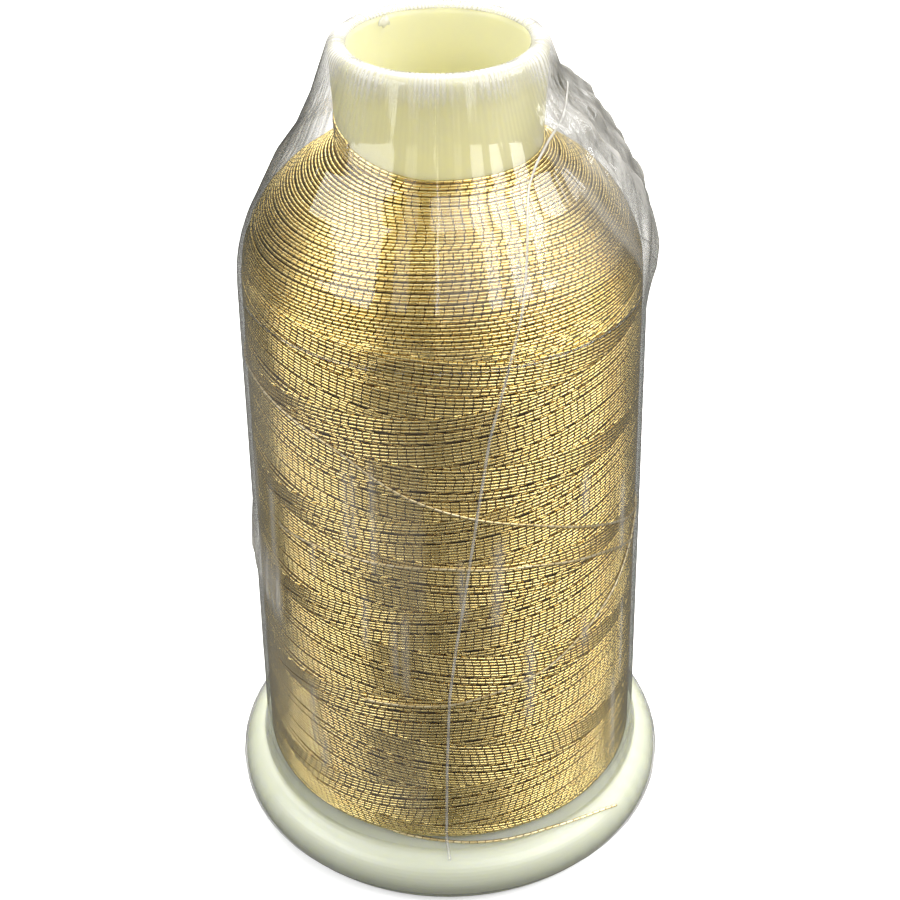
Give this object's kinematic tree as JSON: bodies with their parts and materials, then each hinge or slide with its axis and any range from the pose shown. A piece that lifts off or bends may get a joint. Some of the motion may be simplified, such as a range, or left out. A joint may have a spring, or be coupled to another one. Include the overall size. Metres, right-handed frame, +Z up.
{
  "type": "thread spool",
  "caption": "Tall flanged spool wound with gold metallic thread: hollow tube, snap-down foot, loose thread end and clear shrink film.",
  "frame": {"origin": "centre of the base, on the plane it rests on", "axes": "+Z up along the tube's axis; the loose thread end and the film's seam face -Y"},
  "size_m": [0.0661, 0.066, 0.1203],
  "materials": {
    "tube_plastic": "smooth moulded plastic, pale yellow cream, slightly translucent",
    "foot_plastic": "smooth moulded plastic, greenish white, slightly translucent",
    "metallic_thread": "gold foil wrapped on a core, bright metallic",
    "film": "clear shrink film, glossy"
  },
  "bodies": {
    "core": {"spool_tube": "tube_plastic", "thread_package": "metallic_thread", "shrink_film": "film"},
    "foot": {"snap_foot": "foot_plastic", "thread_tail": "metallic_thread"}
  },
  "joints": [
    {"name": "foot_slide", "type": "slide", "parent": "core", "child": "foot", "axis": [0, 0, -1], "range_m": [0, 0.0025]}
  ]
}
